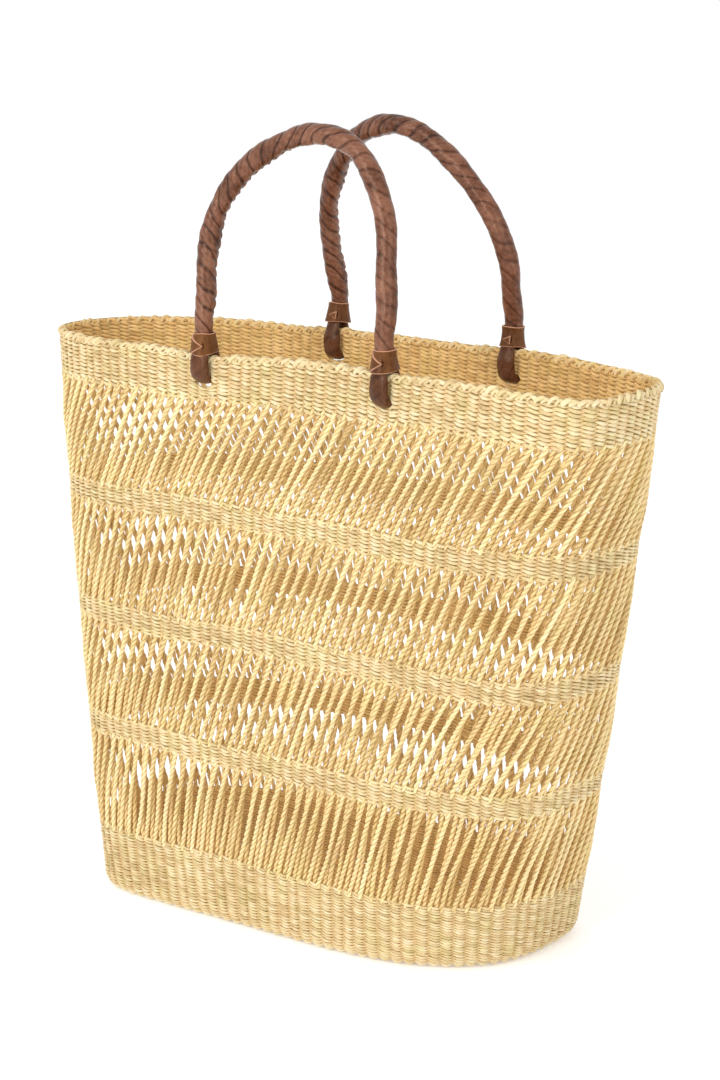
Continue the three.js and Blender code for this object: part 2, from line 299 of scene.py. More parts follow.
class Tubes:
    """Tubes gathered into one mesh, with values at their points kept as attributes for the material."""

    def __init__(self):
        self.points, self.quads, self.values, self.count = [], [], {}, 0

    def add(self, points, closed, **values):
        """points is [samples, around, 3], and each value fits [samples, around]."""
        samples, around, _ = points.shape
        self.points.append(points.reshape(-1, 3))
        self.quads.append(grid_faces(samples, around, closed) + self.count)
        if not closed:
            self.close_end(0, around, flip=True)
            self.close_end(samples - 1, around, flip=False)
        for label, value in values.items():
            full = np.broadcast_to(value, (samples, around))
            self.values.setdefault(label, []).append(full.ravel())
        self.count += samples * around

    def close_end(self, sample, around, flip):
        """Quads across the end of a tube that has an even number of points around."""
        base = self.count + sample * around
        for k in range(around // 2 - 1):
            quad = [base + k, base + k + 1, base + around - 2 - k, base + around - 1 - k]
            self.quads.append(np.array([quad[::-1] if flip else quad]))

    def build(self, name, material):
        points = np.concatenate(self.points)
        quads = np.concatenate(self.quads)
        mesh = bpy.data.meshes.new(name)
        mesh.vertices.add(len(points))
        mesh.vertices.foreach_set("co", points.astype(np.float32).ravel())
        mesh.loops.add(quads.size)
        mesh.loops.foreach_set("vertex_index", quads.astype(np.int32).ravel())
        mesh.polygons.add(len(quads))
        mesh.polygons.foreach_set("loop_start", np.arange(0, quads.size, 4, dtype=np.int32))
        mesh.update(calc_edges=True)
        for label, values in self.values.items():
            attribute = mesh.attributes.new(label, "FLOAT", "POINT")
            attribute.data.foreach_set("value", np.concatenate(values).astype(np.float32))
        mesh.polygons.foreach_set("use_smooth", np.ones(len(quads), bool))
        mesh.materials.append(material)
        piece = bpy.data.objects.new(name, mesh)
        bpy.context.scene.collection.objects.link(piece)
        return piece


# ---- Materials ----

class Nodes:
    """A material's node tree, built by short calls."""

    def __init__(self, name):
        self.material = bpy.data.materials.new(name)
        self.material.use_nodes = True
        self.tree = self.material.node_tree
        self.shader = self.tree.nodes["Principled BSDF"]

    def node(self, kind, **settings):
        made = self.tree.nodes.new(kind)
        for key, value in settings.items():
            setattr(made, key, value)
        return made

    def feed(self, socket, value):
        if isinstance(value, bpy.types.NodeSocket):
            self.tree.links.new(value, socket)
        else:
            socket.default_value = value

    def attribute(self, name):
        return self.node("ShaderNodeAttribute", attribute_name=name).outputs["Fac"]

    def place(self):
        return self.node("ShaderNodeTexCoord").outputs["Object"]

    def math(self, operation, *values):
        made = self.node("ShaderNodeMath", operation=operation)
        for socket, value in zip(made.inputs, values):
            self.feed(socket, value)
        return made.outputs[0]

    def total(self, *terms):
        """The sum of (value, weight) terms."""
        result = 0.0
        for value, weight in terms:
            result = self.math("MULTIPLY_ADD", value, weight, result)
        return result

    def vector(self, x, y, z):
        made = self.node("ShaderNodeCombineXYZ")
        for socket, value in zip(made.inputs, (x, y, z)):
            self.feed(socket, value)
        return made.outputs[0]

    def noise(self, vector, scale, detail=3.0):
        made = self.node("ShaderNodeTexNoise")
        self.feed(made.inputs["Scale"], scale)
        self.feed(made.inputs["Detail"], detail)
        self.feed(made.inputs["Vector"], vector)
        return made.outputs["Fac"]

    def cells(self, vector, scale):
        made = self.node("ShaderNodeTexVoronoi")
        self.feed(made.inputs["Scale"], scale)
        self.feed(made.inputs["Vector"], vector)
        return made.outputs["Distance"]

    def ramp(self, value, *stops):
        made = self.node("ShaderNodeValToRGB")
        elements = made.color_ramp.elements
        while len(elements) < len(stops):
            elements.new(0.5)
        for element, (position, colour) in zip(elements, stops):
            element.position = position
            element.color = (*colour, 1)
        self.feed(made.inputs[0], value)
        return made.outputs["Color"]

    def mix(self, kind, share, first, second):
        made = self.node("ShaderNodeMixRGB", blend_type=kind)
        self.feed(made.inputs[0], share)
        for socket, colour in zip(made.inputs[1:], (first, second)):
            self.feed(socket, (*colour, 1) if isinstance(colour, tuple) else colour)
        return made.outputs[0]

    def bump(self, height, distance, strength):
        made = self.node("ShaderNodeBump")
        self.feed(made.inputs["Distance"], distance)
        self.feed(made.inputs["Strength"], strength)
        self.feed(made.inputs["Height"], height)
        self.feed(self.shader.inputs["Normal"], made.outputs["Normal"])


def straw(name, dark, middle, light, inner):
    """Dry grass: fibres run down each strand, strands differ, and the side inside the basket is tinted darker
    and more orange as painted shade, with a faint painted glow of bounced light.
    """
    nodes = Nodes(name)
    along, girth, shade, inside = (nodes.attribute(label) for label in ("along", "girth", "shade", "inside"))
    stretch = ((along, 90.0), (girth, 7.0), (shade, 40.0))
    scaled = [nodes.math("MULTIPLY", value, factor) for value, factor in stretch]
    fibre = nodes.noise(nodes.vector(*scaled), 1.0, 4.0)
    patch = nodes.noise(nodes.place(), 26.0, 2.0)
    tone = nodes.total((fibre, 0.50), (patch, 0.22), (shade, 0.28))
    colour = nodes.ramp(tone, (0.28, dark), (0.5, middle), (0.74, light))
    hue = nodes.noise(nodes.place(), 95.0, 1.0)
    tint = nodes.ramp(hue, (0.3, (0.97, 1.0, 0.92)), (0.5, (1, 1, 1)), (0.7, (1.0, 0.96, 0.95)))
    colour = nodes.mix("MULTIPLY", 1.0, colour, tint)
    # painted shade: the side inside the basket is multiplied by the inner colour, darker and more orange
    colour = nodes.mix("MULTIPLY", inside, colour, inner)
    nodes.feed(nodes.shader.inputs["Base Color"], colour)
    # painted light: a faint orange glow everywhere, stronger on the side inside the basket, stands in for
    # bounced light
    nodes.shader.inputs["Emission Color"].default_value = (0.95, 0.62, 0.25, 1)
    painted_glow = nodes.total((inside, 0.107), (1.0, 0.02))
    nodes.feed(nodes.shader.inputs["Emission Strength"], painted_glow)
    nodes.shader.inputs["Roughness"].default_value = 0.62
    nodes.shader.inputs["Specular IOR Level"].default_value = 0.3
    nodes.bump(fibre, 0.00025, 0.6)
    return nodes.material


RAW_EDGE = (0.60, 0.31, 0.19)


def leather(name, dark, middle, light, roughness, shine):
    """Waxed leather: painted shade darkens its creases; it is finely grained, with pale raw edges where it
    was cut.
    """
    nodes = Nodes(name)
    crease, cut = nodes.attribute("crease"), nodes.attribute("cut")
    blotch = nodes.noise(nodes.place(), 60.0, 4.0)
    scuff = nodes.noise(nodes.place(), 420.0, 3.0)
    grain = nodes.cells(nodes.place(), 1500.0)
    # painted shade: the creases are darkened
    tone = nodes.total((blotch, 0.75), (scuff, 0.35), (crease, -0.38))
    colour = nodes.ramp(tone, (0.2, dark), (0.42, middle), (0.67, light))
    colour = nodes.mix("MIX", cut, colour, RAW_EDGE)
    nodes.feed(nodes.shader.inputs["Base Color"], colour)
    dull = nodes.total((scuff, 0.25), (cut, 0.3), (grain, 0.1), (1.0, roughness))
    nodes.feed(nodes.shader.inputs["Roughness"], dull)
    nodes.shader.inputs["Specular IOR Level"].default_value = shine
    nodes.shader.inputs["Specular Tint"].default_value = (1.0, 0.73, 0.57, 1)
    nodes.bump(nodes.total((grain, 0.5), (scuff, 0.6), (blotch, 0.5)), 0.0002, 0.7)
    return nodes.material


# The last colour of each straw is painted shade for the side inside the basket.
WEAVE = straw(
    "twined_grass", (0.40, 0.275, 0.115), (0.67, 0.53, 0.29), (0.77, 0.695, 0.48), (0.93, 0.76, 0.52)
)
CORD = straw(
    "grass_cord", (0.44, 0.275, 0.10), (0.75, 0.575, 0.28), (0.87, 0.755, 0.46), (0.97, 0.92, 0.85)
)
HANDLE_LEATHER = leather(
    "handle_leather", (0.024, 0.005, 0.002), (0.080, 0.025, 0.012), (0.205, 0.086, 0.050), 0.06, 0.46
)
LOOP_LEATHER = leather(
    "loop_leather", (0.023, 0.006, 0.002), (0.061, 0.019, 0.006), (0.110, 0.040, 0.018), 0.06, 0.34
)
COLLAR_LEATHER = leather(
    "collar_leather", (0.035, 0.009, 0.0015), (0.074, 0.021, 0.003), (0.127, 0.045, 0.009), 0.14, 0.31
)


# ---- Closed weave ----

AROUND = 6        # points round a strand
STITCH_STEPS = 4  # samples of a strand over each column
# A strand's swing in and out and its half thickness, as shares of the wall's thickness, and its slant, its
# dip, its half height and how much higher it is on the face of the wall, as shares of the row's height.
STRAND = {"swing": 0.30, "half": 0.17, "slant": 0.25, "dip": 0.08, "height": 0.21, "bulge": 0.31}
# How much hand work varies each of them from column to column, and how much strands vary in tone.
VARIES = {"swing": 0.12, "lift": 0.11, "height": 0.13, "half": 0.1, "shade": 0.42, "tone": 0.08}


def stitch_noise(columns, amount):
    """A random number for each column, spread evenly over its samples."""
    values = RNG.uniform(-amount, amount, columns)
    place = np.arange(columns * STITCH_STEPS) / STITCH_STEPS
    return np.interp(place, np.arange(columns + 1), np.append(values, values[0]))


def twine_row(strands, place_row, columns, pitch, sway=0.0, thickness=WALL, tone=0.5):
    """One row of twining: two strands that change sides between the columns.

    place_row(rounds) gives the row's centre line, its directions out of the wall and up it, and its
    squeeze. sway moves the columns along the wall, in columns."""
    column = np.arange(columns * STITCH_STEPS) / STITCH_STEPS
    centre, out, up, squeeze = place_row((column + sway) / columns)
    angles = np.arange(AROUND) / AROUND * 2 * np.pi
    girth = np.abs(np.linspace(-1, 1, AROUND, endpoint=False))
    for side in (0, 1):
        swing = np.cos(np.pi * (column + side))
        rise = -np.sin(np.pi * (column + side))
        depth = STRAND["swing"] * thickness * swing * (1 + stitch_noise(columns, VARIES["swing"]))
        lift = STRAND["slant"] * rise - STRAND["dip"] * np.abs(swing)
        lift = pitch * (lift + stitch_noise(columns, VARIES["lift"]))
        height = squeeze * pitch * (STRAND["height"] + STRAND["bulge"] * np.abs(swing))
        height = height * (1 + stitch_noise(columns, VARIES["height"]))
        half = STRAND["half"] * thickness * (1 + stitch_noise(columns, VARIES["half"]))
        line = centre + out * depth[:, None] + up * lift[:, None]
        points = line[:, None] + out[:, None] * (half[:, None] * np.cos(angles))[..., None]
        points = points + up[:, None] * (height[:, None] * np.sin(angles))[..., None]
        outward = depth[:, None] + half[:, None] * np.cos(angles)
        # painted shade and glow follow this: how far the point faces the inside of the basket
        inside = np.clip(0.5 - 1.3 * outward / thickness, 0, 1)
        strand_tone = tone + RNG.normal(0, VARIES["tone"])
        shade = np.clip(strand_tone + stitch_noise(columns, VARIES["shade"]), 0, 1)
        length = column * COLUMN + RNG.uniform(0, 9)
        strands.add(points, True, along=length[:, None], girth=girth, shade=shade[:, None], inside=inside)


def upright_row(z, low=None, high=None):
    """The centre line of a row on the standing wall; between low and high it parts round the loops."""

    def place(rounds):
        out = out_at(rounds, z)
        xy = wall_at(rounds, z) - out * WALL / 2
        rise, squeeze = part_round_loops(xy, z, low, high) if low else (0.0, 1.0)
        zero = np.zeros(len(rounds))
        height = z + unevenness(rounds, z) + rise
        return np.column_stack([xy, height]), np.column_stack([out, zero]), UP, squeeze

    return place


RIB_HALF = 0.25 * MM


def rib_shade_sheet(strands, low, high, start, span):
    """A thin sheet in the middle of the wall, standing for the ribs and given the darkest tone: painted shade
    that shows between the stitches.
    """
    closed = span == 1
    place = start + span * np.linspace(0, 1, 600, endpoint=not closed)
    levels = np.linspace(low, high, 4)
    section = [(z, 1) for z in levels] + [(z, -1) for z in reversed(levels)]
    points = np.empty((len(place), len(section), 3))
    for i, (z, face) in enumerate(section):
        xy = wall_at(place, z) - out_at(place, z) * (WALL / 2 - RIB_HALF * face)
        points[:, i] = np.column_stack([xy, z + unevenness(place, z)])
    # painted shade: the sheet takes the darkest tone, and its inner face gets the inside shade and glow
    inside = np.array([0.0 if face > 0 else 0.6 for z, face in section])
    strands.add(points, closed, along=0.0, girth=0.0, shade=-1.2, inside=inside)


LOOP_GAP = 0.0065  # either side of a loop, as a share of the way round the wall


def parted_rib_shade_sheet(strands, low, high):
    """The rib sheet near the rim, dark with painted shade, which leaves room for the leather loops."""
    places = sorted(LOOP_PLACES.values())
    for first, second in zip(places, places[1:] + [places[0] + 1]):
        rib_shade_sheet(strands, low, high, first + LOOP_GAP, second - first - 2 * LOOP_GAP)


def closed_band(node, pitch, low, high, parts=False):
    columns = even_columns(outline_length((low + high) / 2))
    rows = round((high - low) / pitch)
    strands = Tubes()
    if parts:
        parted_rib_shade_sheet(strands, low, high)
    else:
        rib_shade_sheet(strands, low, high, 0.0, 1)
    wander = stitch_noise(columns, 0.16)
    for row in range(rows):
        z = low + (row + 0.5) * (high - low) / rows
        place = upright_row(z, low, high) if parts else upright_row(z)
        sway = wander + stitch_noise(columns, 0.05)
        twine_row(strands, place, columns, (high - low) / rows, sway)
    band = strands.build(node + "_weave", WEAVE)
    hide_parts(node)
    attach(band, "basket")
    return columns


def edge_row(angle):
    """A row in the round edge under the foot band: angle 0 stands up, a quarter turn lies flat."""
    radius = BOTTOM_RADIUS - WALL / 2
    inset = BOTTOM_RADIUS - radius * math.cos(angle)
    z = BOTTOM_RADIUS - radius * math.sin(angle)

    def place(rounds):
        out = out_at(rounds, z)
        zero = np.zeros(len(rounds))
        centre = np.column_stack([wall_at(rounds, z) - out * inset, zero + z])
        outward = np.column_stack([out * math.cos(angle), zero - math.sin(angle)])
        up = np.column_stack([out * math.sin(angle), zero + math.cos(angle)])
        return centre, outward, up, 1.0

    return place


def base_row(inset):
    """A flat row of the base."""
    z = WALL / 2
    outline = even_outline(z, inset)

    def place(rounds):
        share = np.mod(rounds, 1) * PLACES
        xy = np.stack([np.interp(share, np.arange(PLACES + 1), outline[:, axis]) for axis in (0, 1)], -1)
        along = unit(np.roll(xy, -1, axis=0) - np.roll(xy, 1, axis=0))
        zero = np.zeros(len(rounds))
        out = np.column_stack([along[:, 1], -along[:, 0], zero])
        return np.column_stack([xy, zero + z]), -UP, out, 1.0

    return place


def turned_edge(columns):
    arc = (BOTTOM_RADIUS - WALL / 2) * math.pi / 2
    rows = round(arc / FOOT_PITCH)
    strands = Tubes()
    for row in range(rows):
        angle = (row + 0.5) / rows * math.pi / 2
        twine_row(strands, edge_row(angle), columns, arc / rows)
    corner = math.radians(52)
    twine_row(strands, edge_row(corner), columns, 1.4 * FOOT_PITCH, thickness=1.25 * WALL, tone=0.8)
    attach(strands.build("turned_under_weave", WEAVE), "basket")


def base():
    strands = Tubes()
    inset = BOTTOM_RADIUS + BASE_PITCH / 2
    while inset < HALF_WIDTH["foot"][0] * MM - BASE_PITCH / 2:
        twine_row(strands, base_row(inset), even_columns(outline_length(0.0, inset)), BASE_PITCH)
        inset += BASE_PITCH
    piece = strands.build("base_weave", WEAVE)
    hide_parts("base_floor")
    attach(piece, "basket")


# ---- Open cords ----

PLY_SECTION = np.radians([0, 30, 62, 90, 118, 150, 180, 210, 242, 270, 298, 330])  # points round a cord
STEPS_PER_TURN = 7  # samples along one turn of the plies
TUCK = 3 * MM       # how far a cord's end goes into the closed weave


def cord_section():
    """The outline across a cord of two plies: the angle and radius of each point."""
    across = PLY_SPREAD * np.abs(np.cos(PLY_SECTION))
    radius = across + np.sqrt(PLY_RADIUS**2 - (PLY_SPREAD * np.sin(PLY_SECTION)) ** 2)
    groove = np.abs(np.cos(PLY_SECTION)) < 0.01
    return PLY_SECTION, np.where(groove, GROOVE_RADIUS, radius)


SECTION_ANGLE, SECTION_RADIUS = cord_section()


def twisted_cord(strands, line, out, depth, size, tone):
    """A two-ply cord along line; out is the wall's outward direction, depth the line's place in the wall."""
    tangent = unit(np.gradient(line, axis=0))
    side = unit(np.cross(tangent, out))
    face = np.cross(side, tangent)
    length = lengths(line)
    start = RNG.uniform(0, 2 * np.pi)
    angle = start - 2 * np.pi * length[:, None] / (CORD_LAY * RNG.uniform(0.85, 1.2)) + SECTION_ANGLE
    radius = SECTION_RADIUS * size
    points = line[:, None] + side[:, None] * (radius * np.cos(angle))[..., None]
    points = points + face[:, None] * (radius * np.sin(angle))[..., None]
    # painted shade and glow follow this: how far the point faces the inside of the basket
    inside = np.clip(0.5 - 1.1 * (depth[:, None] + radius * np.sin(angle)) / WALL, 0, 1)
    girth = np.abs(np.linspace(-1, 1, len(PLY_SECTION), endpoint=False))
    along = length[:, None] + RNG.uniform(0, 9)
    # painted shade: the points in the grooves between the plies get a much darker tone
    shade = tone - 0.8 * (SECTION_RADIUS < 0.8 * SECTION_RADIUS.max())
    strands.add(points, False, along=along, girth=girth, shade=shade, inside=inside)


def open_cords(opening, low, high, columns):
    """The pairs of cords between two closed bands: the outer cord of each pair leans one column more."""
    lean = LEAN[opening]
    span = high - low
    rise = span + 2 * TUCK
    samples = 1 + int(rise * 1.12 / CORD_LAY * STEPS_PER_TURN)
    z = low - TUCK + rise * np.linspace(0, 1, samples)
    ease = np.clip((z - low) / span, 0, 1)
    hump = np.sin(np.pi * ease)
    for label, layer in (("outer", 1), ("inner", -1)):
        strands = Tubes()
        for column in range(columns):
            bend = RNG.normal(0, 0.10) * hump + RNG.normal(0, 0.05) * np.sin(2 * np.pi * ease)
            slow = 0.22 * math.sin(2 * math.pi * column / columns * 5 + len(opening)) * ease
            place = (column + 0.25 * layer * (2 * ease - 1) + lean * ease + slow + bend) / columns
            out = out_at(place, z)
            depth = layer * (PLY_RADIUS + 0.25 * MM) * (0.55 + 0.45 * hump) + RNG.normal(0, 0.25 * MM) * hump
            xy = wall_at(place, z) - out * (WALL / 2 - depth)[:, None]
            line = np.column_stack([xy, z + unevenness(place, z)])
            level = np.column_stack([out, np.zeros(len(z))])
            # painted shade: the inner cord of each pair is a little darker than the outer one
            tone = np.clip(RNG.normal(0.5 + 0.12 * layer, 0.2), 0, 1)
            twisted_cord(strands, line, level, depth, RNG.uniform(0.92, 1.06), tone)
        piece = strands.build("cords_" + opening + "_" + label, CORD)
        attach(piece, "basket")
        if layer == 1:
            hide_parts("openwork_" + opening)


# ---- Rim border ----

KNOB_RADIUS = 1.15 * MM
FOLD = {"reach": 1.75 * MM, "sunk": 1.2 * MM}  # of a folded rib end, from the wall's middle and the edge
CLEAR_OF_LOOPS = 7 * MM  # no rib ends are folded over the edge this near a leather loop


def border_loop(strands, frame_at, start, span, radius, top, tone):
    """One strand that comes up outside, bends over the edge and goes down inside, slanting along the rim."""
    share = np.linspace(0, 1, 13)
    place = start + span * share
    centre, out, up = frame_at(place)
    across = FOLD["reach"] * np.cos(np.pi * share)
    lift = top * np.sin(np.pi * share) ** 0.8 - FOLD["sunk"]
    line = centre + out * across[:, None] + up * lift[:, None]
    tangent = unit(np.gradient(line, axis=0))
    side = unit(np.cross(tangent, out + 0.8 * up))
    face = np.cross(side, tangent)
    angles = np.arange(8) / 8 * 2 * np.pi
    thick = radius * (0.75 + 0.25 * np.sin(np.pi * share))[:, None]
    points = line[:, None] + side[:, None] * (1.25 * thick * np.cos(angles))[..., None]
    points = points + face[:, None] * (0.95 * thick * np.sin(angles))[..., None]
    girth = np.abs(np.linspace(-1, 1, 8, endpoint=False))
    along = share[:, None] * 0.01 + RNG.uniform(0, 9)
    # the part that goes down inside gets painted shade and glow
    strands.add(points, False, along=along, girth=girth, shade=tone, inside=(0.6 * share**2)[:, None])


def rim_border():
    """The edge of the rim: a running pair of strands with the rib ends folded over it."""
    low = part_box("rim_border")[0].z
    columns = even_columns(outline_length(RIM_HEIGHT))

    def frame_at(place):
        out = out_at(place / columns, RIM_HEIGHT)
        zero = np.zeros(len(place))
        xy = wall_at(place / columns, RIM_HEIGHT) - out * WALL / 2
        height = low + unevenness(place / columns, RIM_HEIGHT)
        return np.column_stack([xy, zero + height]), np.column_stack([out, zero]), UP

    strands = Tubes()
    parted_rib_shade_sheet(strands, low - 0.4 * MM, low + 2.2 * MM)
    twine_row(strands, upright_row(low + 0.8 * MM), columns, 2.5 * MM)
    for column in range(columns):
        start = column + RNG.normal(0, 0.1)
        tone = np.clip(RNG.normal(0.55, 0.18), 0, 1)
        spot = frame_at(np.array([start + 0.5]))[0][0]
        if min(np.linalg.norm(spot - place.origin) for place in RIM_FRAMES.values()) < CLEAR_OF_LOOPS:
            continue
        top = MM * RNG.uniform(2.3, 3.3)
        radius = KNOB_RADIUS * RNG.uniform(0.8, 1.2)
        border_loop(strands, frame_at, start, RNG.uniform(0.75, 1.1), radius, top, tone)
        span = RNG.uniform(0.6, 0.9)
        border_loop(strands, frame_at, start + 0.5, span, 0.7 * radius, top - 0.8 * MM, tone - 0.15)
    piece = strands.build("folded_rim_border", WEAVE)
    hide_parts("rim_border")
    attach(piece, "basket")


# ---- The basket ----

def wall():
    """The base, then the bands from the foot to the rim."""
    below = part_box("foot_band")[1].z
    columns = closed_band("foot_band", FOOT_PITCH, BOTTOM_RADIUS, below)
    turned_edge(columns)
    base()
    for name in ("lower", "middle", "upper"):
        node = "woven_band_" + name
        low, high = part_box(node)[0].z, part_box(node)[1].z
        columns = closed_band(node, BAND_PITCH, low, high)
        open_cords("below_" + name + "_band", below, low, columns)
        below = high
    low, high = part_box("rim_band")[0].z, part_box("rim_band")[1].z
    columns = closed_band("rim_band", RIM_PITCH, low, high, parts=True)
    open_cords("below_rim", below, low, columns)
    rim_border()


wall()


# ---- Leather handles ----

LEATHER_AROUND = 72
LEATHER_STEP = 0.6 * MM
WRINKLE_LAY = 30 * MM   # length over which a wrinkle winds once round the roll
PUCKER = 5.7 * MM       # from stitch to stitch of the seam
SEAM_ANGLE = math.radians(218)
# The roll's centre line inside a collar, from its end up, as distances out of the rim's middle and above it.
NECK = [(1.9 * MM, 5 * MM), (2.1 * MM, 11 * MM)]


def smooth_curve(points, step):
    """A centripetal Catmull-Rom curve through the points, sampled about every step."""
    points = np.array(points)
    ends = [2 * points[0] - points[1], 2 * points[-1] - points[-2]]
    points = np.vstack([ends[0], points, ends[1]])
    samples = []
    for p0, p1, p2, p3 in zip(points, points[1:], points[2:], points[3:]):
        k1 = np.linalg.norm(p1 - p0) ** 0.5
        k2 = k1 + np.linalg.norm(p2 - p1) ** 0.5
        k3 = k2 + np.linalg.norm(p3 - p2) ** 0.5
        count = max(2, int(np.linalg.norm(p2 - p1) / step))
        t = np.linspace(k1, k2, count, endpoint=False)[:, None]
        a = (p0 * (k1 - t) + p1 * t) / k1
        b = (p1 * (k2 - t) + p2 * (t - k1)) / (k2 - k1)
        c = (p2 * (k3 - t) + p3 * (t - k2)) / (k3 - k2)
        d = (a * (k2 - t) + b * t) / k2
        e = (b * (k3 - t) + c * (t - k1)) / (k3 - k1)
        samples.append((d * (k2 - t) + e * (t - k1)) / (k2 - k1))
    samples.append(points[-2][None])
    return np.concatenate(samples)


def creased(phase):
    """Rounded ridges with a sharp crease between them: 0 in the crease, 1 on the ridge."""
    return np.abs(np.sin(phase / 2))


def wrinkles(length, angle, seed):
    """The twisted wrinkles of rolled leather: the rise of its surface in metres, and the painted shade in its
    creases.
    """
    twist = angle + 2 * np.pi * length / WRINKLE_LAY
    warp = 0.9 * np.sin(2 * angle + length / (11 * MM) + seed)
    warp = warp + 0.8 * np.sin(angle - length / (7.3 * MM) + 2 * seed)
    long_ones = creased(3 * twist + warp)
    fine_ones = creased(7 * twist - 1.7 * warp + length / (9 * MM))
    lumps = np.sin(length / (8.7 * MM) + seed) + np.sin(2 * angle - length / (5.1 * MM) + 3 * seed)
    rise = MM * (0.45 * long_ones + 0.15 * fine_ones + 0.26 * lumps - 0.37)
    crease = np.clip(1 - 2.2 * long_ones, 0, 1) + 0.35 * np.clip(1 - 2.5 * fine_ones, 0, 1)
    return rise, crease


def seam(length, angle, seed):
    """The overlap along the inside of the roll, puckered by its stitches: rise, painted shade in the stitch
    dents, and raw edge.
    """
    wave = 0.14 * np.sin(2 * np.pi * length / PUCKER) + 0.1 * np.sin(length / (13 * MM) + seed)
    beside = np.mod(angle - SEAM_ANGLE - wave + np.pi, 2 * np.pi) - np.pi
    flap = np.where(beside > 0, np.clip(1 - beside / 1.1, 0, 1), 0)
    pull = (0.5 + 0.5 * np.cos(2 * np.pi * length / PUCKER)) ** 3 * np.exp(-((beside / 0.45) ** 2))
    rise = MM * (0.6 * flap - 0.6 * pull)
    worn = 0.4 + 0.6 * np.sin(length / (4.3 * MM) + seed) ** 2
    cut = 0.75 * np.exp(-(((beside - 0.06) / 0.06) ** 2)) * worn
    return rise, pull, cut


def handle_line(name):
    """The roll's centre line, from inside its left collar over the arch to inside its right collar."""
    handle = HANDLES[name]
    left, right = RIM_FRAMES[name, "left"], RIM_FRAMES[name, "right"]
    hinges = [rim.place(HINGE["out"], 0, HINGE["up"]) for rim in (left, right)]
    across = unit(hinges[1] - hinges[0])
    back = unit(np.cross([0, 0, 1], across))
    lean = math.radians(handle["lean"])
    up = np.cross(across, back) * math.cos(lean) - handle["side"] * back * math.sin(lean)
    middle = (hinges[0] + hinges[1]) / 2
    half = np.linalg.norm(hinges[1] - hinges[0]) / 2
    arch = [(-half, STRAIGHT_END), *((x * MM, z * MM) for x, z in handle["arch"]), (half, STRAIGHT_END)]
    points = [left.place(out, 0, rise) for out, rise in NECK] + [hinges[0]]
    points += [middle + across * x + up * z for x, z in arch]
    points += [hinges[1]] + [right.place(out, 0, rise) for out, rise in reversed(NECK)]
    return smooth_curve(points, LEATHER_STEP), np.cross(up, across)


def round_ends(length, reach):
    """A factor that brings a tube's radius down to a rounded end at both ends."""
    end = np.minimum(length, length[-1] - length)
    return np.sqrt(np.clip(1 - (1 - np.clip(end / reach, 0, 1)) ** 2, 0.02, 1))


def handle_roll(name, seed):
    """The wrinkled leather roll of a handle, with its puckered seam."""
    line, normal = handle_line(name)
    tangent = unit(np.gradient(line, axis=0))
    outer = unit(np.cross(tangent, normal))
    face = np.cross(outer, tangent)
    length = lengths(line)
    angle = np.arange(LEATHER_AROUND) / LEATHER_AROUND * 2 * np.pi
    s, a = length[:, None], angle[None]
    calm = np.interp(length / length[-1], [0, 0.55, 0.75, 1], [1, 1, 0.5, 0.55])[:, None]
    rise, crease = wrinkles(s, a, seed)
    seam_rise, pull, cut = seam(s, a, seed)
    near_collar = np.clip(np.minimum(length, length[-1] - length) / (22 * MM), 0, 1)[:, None]
    radius = HANDLE_RADIUS * (0.86 + 0.14 * near_collar) + (calm * rise + seam_rise) * near_collar
    radius = radius * round_ends(length, 5 * MM)[:, None]
    points = line[:, None] + outer[:, None] * (radius * np.cos(a))[..., None]
    points = points - face[:, None] * (radius * np.sin(a))[..., None]
    roll = Tubes()
    # painted shade in the wrinkles' creases and in the stitches' dents
    roll.add(points[:, ::-1], False, crease=(calm * crease + pull)[:, ::-1], cut=(cut * near_collar)[:, ::-1])
    piece = roll.build(name + "_handle_roll", HANDLE_LEATHER)
    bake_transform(piece)
    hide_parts(name + "_handle_wrap", name + "_handle_core")


# ---- Leather loops through the wall ----

LOOP_SPREAD = 5.5 * MM  # from the wall's middle to each leg
LOOP_DEPTH = 21 * MM    # from the rim down to the underside of the loop
LUG_HALF = {"thickness": 3.1 * MM, "width": 6.0 * MM}
LOOP_AROUND = 56        # points round the roll
# The legs as [out of the wall's middle, above the rim, half thickness, half width], from inside the
# collar downwards, in millimetres.
OUTER_LEG = [(4.4, 6, 1.2, 3.0), (4.8, 2, 1.6, 3.8), (5.2, -1.5, 1.9, 4.5), (5.5, -5, 2.7, 5.6)]
INNER_LEG = [
    (-1.6, 9, 1.2, 3.0),
    (-2.8, 5.5, 1.4, 3.7),
    (-4.0, 1.5, 1.6, 4.3),
    (-4.6, -2, 2.0, 5.0),
    (-5.5, -6.5, 3.0, 5.9),
]


def loop_line():
    """The loop's centre line across the wall with its half thickness and half width, from leg to leg."""
    outer = [tuple(value * MM for value in row) for row in OUTER_LEG]
    inner = [tuple(value * MM for value in row) for row in reversed(INNER_LEG)]
    section = (LUG_HALF["thickness"], LUG_HALF["width"])
    bend = -(LOOP_DEPTH - LUG_HALF["thickness"] - LOOP_SPREAD)
    turn = [
        (LOOP_SPREAD * math.cos(angle), bend - LOOP_SPREAD * math.sin(angle), *section)
        for angle in np.linspace(0, math.pi, 7)
    ]
    return smooth_curve(outer + turn + inner, 0.5 * MM)


